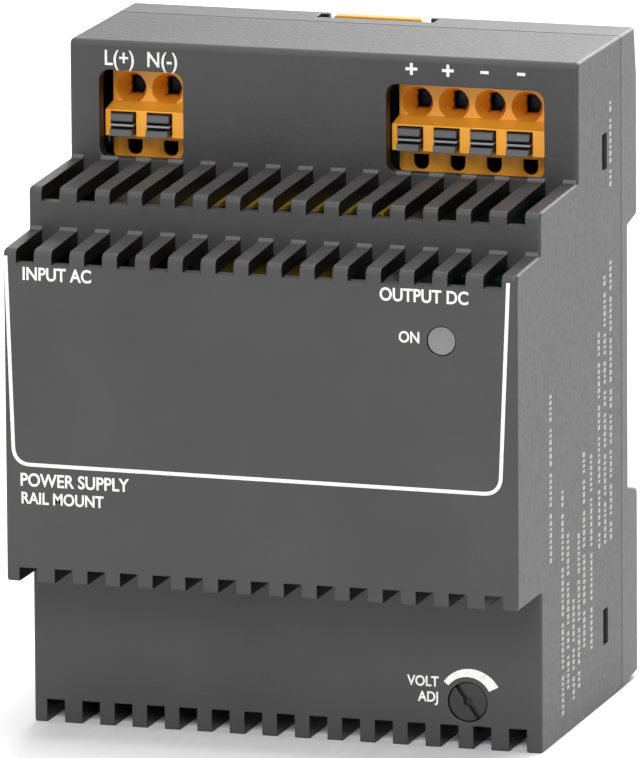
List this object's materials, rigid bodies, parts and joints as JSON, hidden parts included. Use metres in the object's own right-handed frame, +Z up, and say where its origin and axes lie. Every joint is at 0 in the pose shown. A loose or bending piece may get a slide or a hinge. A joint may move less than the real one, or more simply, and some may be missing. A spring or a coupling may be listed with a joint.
{
  "type": "din rail power supply",
  "caption": "Stepped dark-grey rail-mount power supply with orange push-in terminals, vent slots, status lens, trimmer and sprung rail latch.",
  "frame": {"origin": "middle of the bounding box's bottom face, on the plane of the bottom face", "axes": "+Z up along the height and the rail latch's travel, -Y towards the front face, +X to the right seen from the front, along the rail"},
  "size_m": [0.071, 0.058, 0.09],
  "materials": {
    "cover_plastic": "finely eroded mould texture",
    "base_plastic": "finely eroded mould texture",
    "latch_plastic": "satin",
    "terminal_plastic": "satin",
    "button_plastic": "satin",
    "adjuster_plastic": "satin",
    "lens_plastic": "frosted",
    "lamp_resin": "clear tinted",
    "black_plastic": "satin",
    "trimmer_plastic": "satin",
    "spring_steel": "bright",
    "screw_steel": "zinc plated",
    "tinned_copper": "tinned",
    "copper_wire": "enamelled",
    "laminate": "solder mask",
    "insulation_film": "satin",
    "ferrite": "sintered",
    "core_tape": "satin tape",
    "coil_tape": "satin tape",
    "capacitor_sleeve": "shrink sleeve",
    "film_capacitor_case": "satin",
    "disc_coating": "dipped coating",
    "thermistor_coating": "dipped coating",
    "fuse_glass": "clear",
    "nickel": "plated",
    "heat_sink_aluminium": "rolled",
    "epoxy_package": "moulded"
  },
  "bodies": {
    "housing": {"board_screws": "screw_steel", "bridge_rectifier": "epoxy_package", "bulk_capacitor": "capacitor_sleeve", "choke_base": "black_plastic", "choke_core": "ferrite", "choke_windings": "copper_wire", "control_board": "laminate", "controller_chip": "epoxy_package", "front_cover": "cover_plastic", "fuse_caps": "nickel", "fuse_clips": "nickel", "fuse_tube": "fuse_glass", "heat_sink_screws": "screw_steel", "input_current_bars": "tinned_copper", "input_terminal_housing": "terminal_plastic", "inrush_thermistor": "thermistor_coating", "insulation_sheet": "insulation_film", "latch_spring": "spring_steel", "led_holder": "black_plastic", "light_pipe": "lens_plastic", "main_board": "laminate", "optocouplers": "epoxy_package", "output_capacitors": "capacitor_sleeve", "output_current_bars": "tinned_copper", "output_diode": "epoxy_package", "output_inductor_core": "ferrite", "output_inductor_winding": "copper_wire", "output_terminal_housing": "terminal_plastic", "primary_heat_sink": "heat_sink_aluminium", "rear_base": "base_plastic", "secondary_heat_sink": "heat_sink_aluminium", "status_led": "lamp_resin", "switching_transistor": "epoxy_package", "transformer_bobbin": "black_plastic", "transformer_core": "ferrite", "transformer_tape": "core_tape", "transformer_winding": "coil_tape", "trimmer_body": "trimmer_plastic", "varistor": "disc_coating", "x_capacitor": "film_capacitor_case", "y_capacitors": "disc_coating"},
    "latch": {"rail_latch": "latch_plastic"},
    "adjuster": {"voltage_adjuster": "adjuster_plastic"},
    "input_release_button_1": {"input_release_button_1": "button_plastic"},
    "input_clamp_spring_1": {"input_clamp_spring_1": "spring_steel"},
    "input_release_button_2": {"input_release_button_2": "button_plastic"},
    "input_clamp_spring_2": {"input_clamp_spring_2": "spring_steel"},
    "output_release_button_1": {"output_release_button_1": "button_plastic"},
    "output_clamp_spring_1": {"output_clamp_spring_1": "spring_steel"},
    "output_release_button_2": {"output_release_button_2": "button_plastic"},
    "output_clamp_spring_2": {"output_clamp_spring_2": "spring_steel"},
    "output_release_button_3": {"output_release_button_3": "button_plastic"},
    "output_clamp_spring_3": {"output_clamp_spring_3": "spring_steel"},
    "output_release_button_4": {"output_release_button_4": "button_plastic"},
    "output_clamp_spring_4": {"output_clamp_spring_4": "spring_steel"}
  },
  "joints": [
    {"name": "latch_slide", "type": "slide", "parent": "housing", "child": "latch", "axis": [0, 0, 1], "range_m": [0, 0.004], "stiffness_N_per_m": 2500, "springref_m": -0.002, "deforming": ["latch_spring"]},
    {"name": "adjuster_turn", "type": "hinge", "parent": "housing", "child": "adjuster", "pos_m": [0.0252, -0.0179, 0.0064], "axis": [0, 1, 0], "range_deg": [-105, 135]},
    {"name": "input_button_1_press", "type": "slide", "parent": "housing", "child": "input_release_button_1", "axis": [0, 1, 0], "range_m": [0, 0.0012], "stiffness_N_per_m": 2500, "springref_m": -0.0012},
    {"name": "input_spring_1_bend", "type": "hinge", "parent": "housing", "child": "input_clamp_spring_1", "pos_m": [-0.02874, 0.01203, 0.0749], "axis": [-1, 0, 0], "range_deg": [0, 22]},
    {"name": "input_button_2_press", "type": "slide", "parent": "housing", "child": "input_release_button_2", "axis": [0, 1, 0], "range_m": [0, 0.0012], "stiffness_N_per_m": 2500, "springref_m": -0.0012},
    {"name": "input_spring_2_bend", "type": "hinge", "parent": "housing", "child": "input_clamp_spring_2", "pos_m": [-0.02366, 0.01203, 0.0749], "axis": [-1, 0, 0], "range_deg": [0, 22]},
    {"name": "output_button_1_press", "type": "slide", "parent": "housing", "child": "output_release_button_1", "axis": [0, 1, 0], "range_m": [0, 0.0012], "stiffness_N_per_m": 2500, "springref_m": -0.0012},
    {"name": "output_spring_1_bend", "type": "hinge", "parent": "housing", "child": "output_clamp_spring_1", "pos_m": [0.01152, 0.01203, 0.0749], "axis": [-1, 0, 0], "range_deg": [0, 22]},
    {"name": "output_button_2_press", "type": "slide", "parent": "housing", "child": "output_release_button_2", "axis": [0, 1, 0], "range_m": [0, 0.0012], "stiffness_N_per_m": 2500, "springref_m": -0.0012},
    {"name": "output_spring_2_bend", "type": "hinge", "parent": "housing", "child": "output_clamp_spring_2", "pos_m": [0.0166, 0.01203, 0.0749], "axis": [-1, 0, 0], "range_deg": [0, 22]},
    {"name": "output_button_3_press", "type": "slide", "parent": "housing", "child": "output_release_button_3", "axis": [0, 1, 0], "range_m": [0, 0.0012], "stiffness_N_per_m": 2500, "springref_m": -0.0012},
    {"name": "output_spring_3_bend", "type": "hinge", "parent": "housing", "child": "output_clamp_spring_3", "pos_m": [0.02168, 0.01203, 0.0749], "axis": [-1, 0, 0], "range_deg": [0, 22]},
    {"name": "output_button_4_press", "type": "slide", "parent": "housing", "child": "output_release_button_4", "axis": [0, 1, 0], "range_m": [0, 0.0012], "stiffness_N_per_m": 2500, "springref_m": -0.0012},
    {"name": "output_spring_4_bend", "type": "hinge", "parent": "housing", "child": "output_clamp_spring_4", "pos_m": [0.02676, 0.01203, 0.0749], "axis": [-1, 0, 0], "range_deg": [0, 22]}
  ],
  "couplings": [
    {"joint": "input_spring_1_bend", "follows": "input_button_1_press", "rad_per_m": 319.9},
    {"joint": "input_spring_2_bend", "follows": "input_button_2_press", "rad_per_m": 319.9},
    {"joint": "output_spring_1_bend", "follows": "output_button_1_press", "rad_per_m": 319.9},
    {"joint": "output_spring_2_bend", "follows": "output_button_2_press", "rad_per_m": 319.9},
    {"joint": "output_spring_3_bend", "follows": "output_button_3_press", "rad_per_m": 319.9},
    {"joint": "output_spring_4_bend", "follows": "output_button_4_press", "rad_per_m": 319.9}
  ]
}
